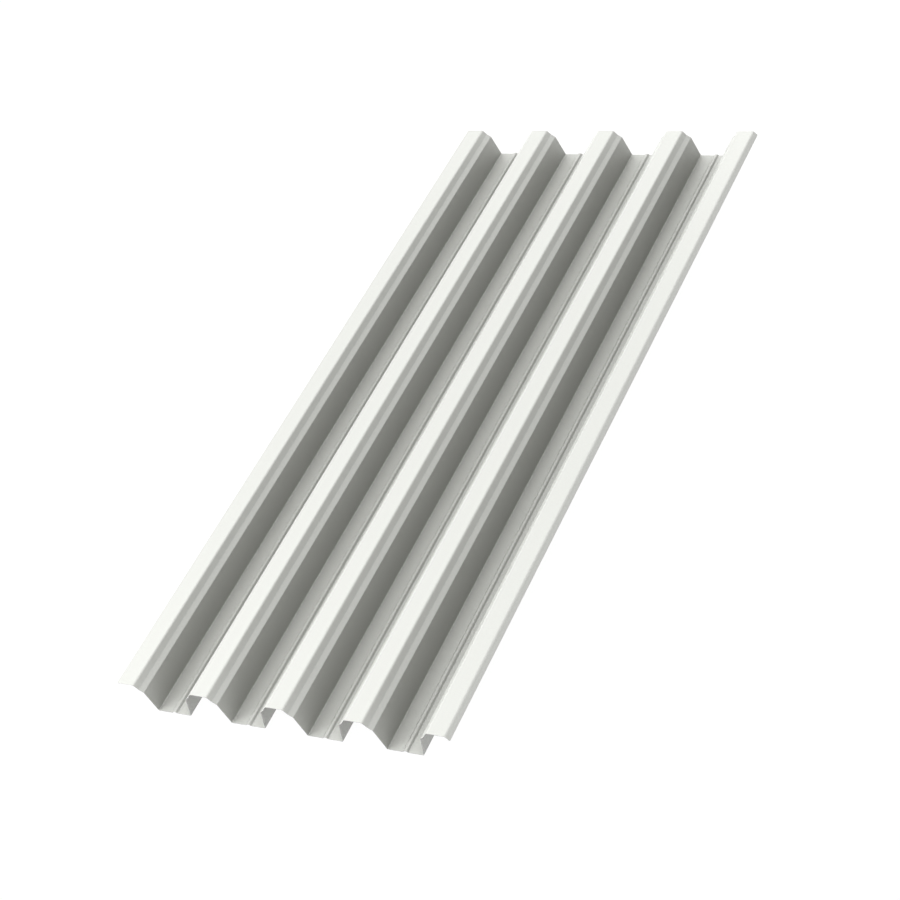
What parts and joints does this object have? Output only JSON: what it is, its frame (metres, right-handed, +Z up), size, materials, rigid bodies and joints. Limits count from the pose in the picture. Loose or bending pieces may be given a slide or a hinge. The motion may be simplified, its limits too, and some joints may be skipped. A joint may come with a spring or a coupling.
{
  "type": "profiled steel sheet",
  "caption": "Painted trapezoidal steel deck sheet with stepped rib sides, ridged valleys and a turned-down lap lip, for roofs, decks and walls.",
  "frame": {"origin": "middle of the sheet's footprint, on the plane of the valleys' undersides", "axes": "+Y along the ribs, +X across the ribs towards the edge with the turned-down lip, +Z up through the raised ribs"},
  "size_m": [0.8002, 1.865, 0.0758],
  "materials": {
    "painted_steel": "satin off-white coil coating on galvanised steel"
  },
  "bodies": {
    "root": {"profiled_sheet": "painted_steel"}
  },
  "joints": []
}
